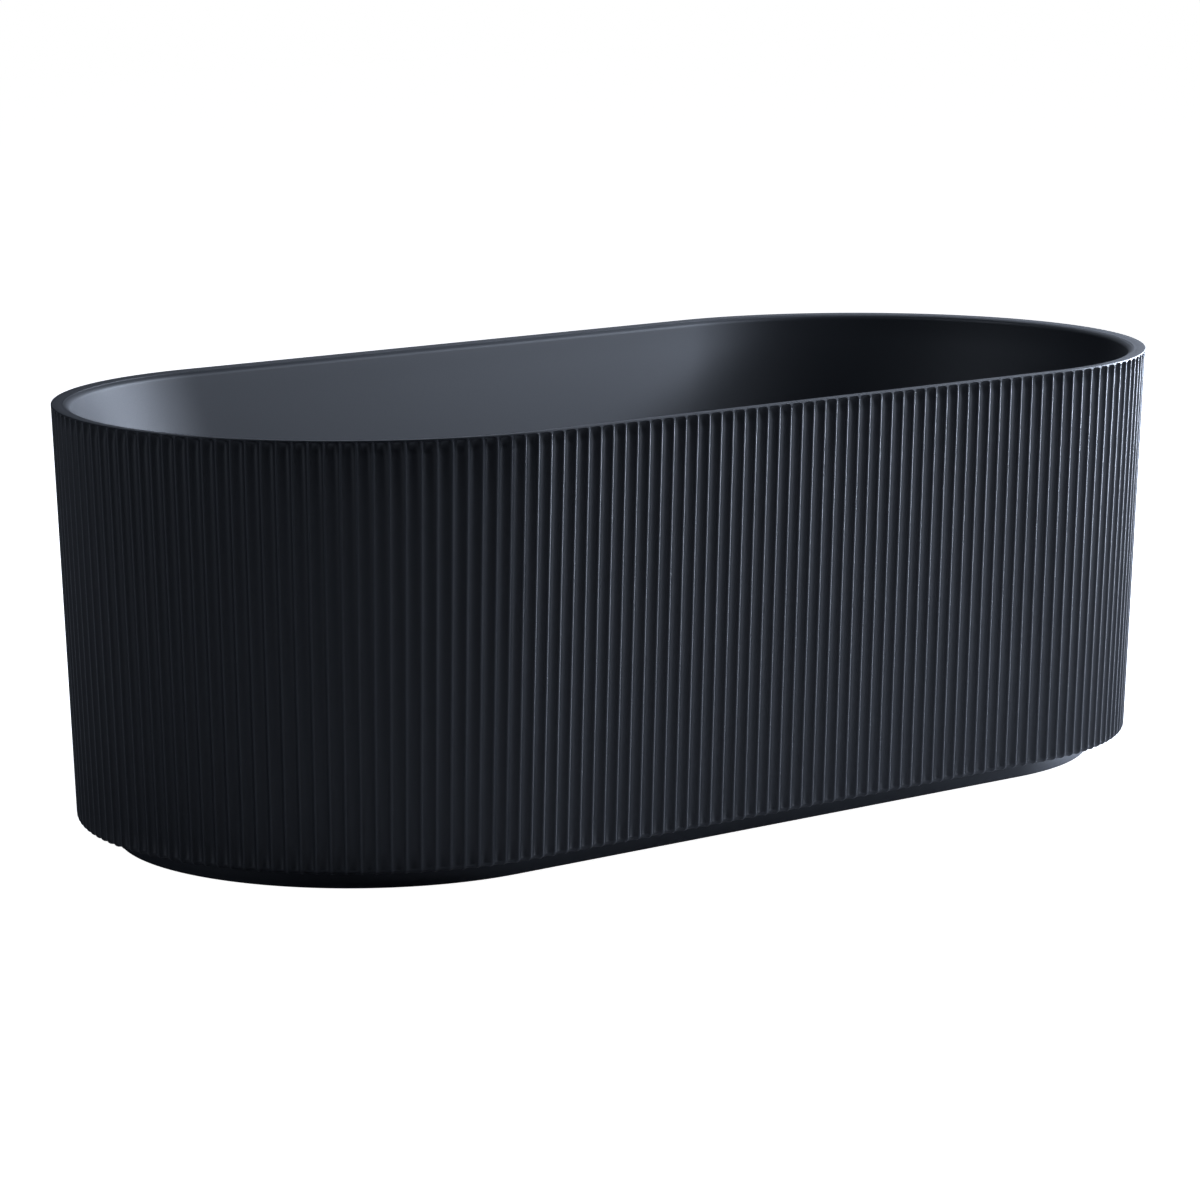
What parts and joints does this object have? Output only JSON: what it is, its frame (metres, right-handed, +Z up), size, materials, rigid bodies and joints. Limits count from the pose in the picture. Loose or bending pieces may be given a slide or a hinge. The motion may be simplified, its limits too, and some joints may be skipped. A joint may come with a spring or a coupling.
{
  "type": "freestanding bathtub",
  "caption": "Freestanding stadium-shaped bathtub with a vertically fluted matt black skirt, smooth basin, thin rim, set-back plinth, press waste and levelling feet.",
  "frame": {"origin": "centre of the footprint on the floor, under the levelling feet", "axes": "+X along the bath's length, +Y across it, +Z up; the trap outlet points to -X"},
  "size_m": [1.7, 0.8, 0.58],
  "materials": {
    "basin_acrylic": "matt black sanitary acrylic, smooth with a low sheen",
    "skirt_acrylic": "matt black, satin sheen on the ridges",
    "plinth_acrylic": "matt black",
    "bonding_adhesive": "cured bonding paste",
    "base_board": "resin-sealed particle board",
    "frame_paint": "powder coat",
    "zinc": "zinc plated",
    "foot_rubber": "moulded",
    "waste_metal": "matt black over brass",
    "seal_rubber": "smooth",
    "cartridge_plastic": "moulded",
    "stem_brass": "turned",
    "spring_steel": "bright wire",
    "trap_plastic": "moulded polypropylene"
  },
  "bodies": {
    "tub": {"basin_shell": "basin_acrylic", "outer_skirt": "skirt_acrylic", "plinth": "plinth_acrylic", "rim_bond_strip": "bonding_adhesive", "base_board": "base_board", "frame_rail_left": "frame_paint", "frame_rail_right": "frame_paint", "crossbar_head": "frame_paint", "crossbar_middle": "frame_paint", "crossbar_foot": "frame_paint", "board_screw_1": "zinc", "plinth_bracket_1": "zinc", "plinth_screw_1": "zinc", "crossbar_screw_1": "zinc", "board_screw_2": "zinc", "plinth_bracket_2": "zinc", "plinth_screw_2": "zinc", "crossbar_screw_2": "zinc", "board_screw_3": "zinc", "plinth_bracket_3": "zinc", "plinth_screw_3": "zinc", "crossbar_screw_3": "zinc", "board_screw_4": "zinc", "plinth_bracket_4": "zinc", "plinth_screw_4": "zinc", "crossbar_screw_4": "zinc", "foot_1_insert": "zinc", "foot_1_lock_nut": "zinc", "foot_2_insert": "zinc", "foot_2_lock_nut": "zinc", "foot_3_insert": "zinc", "foot_3_lock_nut": "zinc", "foot_4_insert": "zinc", "foot_4_lock_nut": "zinc", "foot_5_insert": "zinc", "foot_5_lock_nut": "zinc", "waste_body": "waste_metal", "waste_top_gasket": "seal_rubber", "waste_bottom_gasket": "seal_rubber", "waste_back_nut": "trap_plastic", "plug_cartridge": "cartridge_plastic", "plug_spring": "spring_steel", "trap_union_nut": "trap_plastic", "trap_washer": "seal_rubber", "trap_body": "trap_plastic", "trap_outlet_nut": "trap_plastic", "trap_outlet_seal": "seal_rubber"},
    "plug": {"plug_cap": "waste_metal", "plug_seal": "seal_rubber", "plug_stem": "stem_brass"},
    "foot_1": {"foot_1_pad": "foot_rubber", "foot_1_stud": "zinc"},
    "foot_2": {"foot_2_pad": "foot_rubber", "foot_2_stud": "zinc"},
    "foot_3": {"foot_3_pad": "foot_rubber", "foot_3_stud": "zinc"},
    "foot_4": {"foot_4_pad": "foot_rubber", "foot_4_stud": "zinc"},
    "foot_5": {"foot_5_pad": "foot_rubber", "foot_5_stud": "zinc"}
  },
  "joints": [
    {"name": "plug_press", "type": "slide", "parent": "tub", "child": "plug", "axis": [0, 0, 1], "range_m": [-0.009, 0], "stiffness_N_per_m": 250, "springref_m": 0.012, "deforming": ["plug_spring"]},
    {"name": "foot_1_height", "type": "slide", "parent": "tub", "child": "foot_1", "axis": [0, 0, -1], "range_m": [0, 0.012]},
    {"name": "foot_2_height", "type": "slide", "parent": "tub", "child": "foot_2", "axis": [0, 0, -1], "range_m": [0, 0.012]},
    {"name": "foot_3_height", "type": "slide", "parent": "tub", "child": "foot_3", "axis": [0, 0, -1], "range_m": [0, 0.012]},
    {"name": "foot_4_height", "type": "slide", "parent": "tub", "child": "foot_4", "axis": [0, 0, -1], "range_m": [0, 0.012]},
    {"name": "foot_5_height", "type": "slide", "parent": "tub", "child": "foot_5", "axis": [0, 0, -1], "range_m": [0, 0.012]}
  ]
}
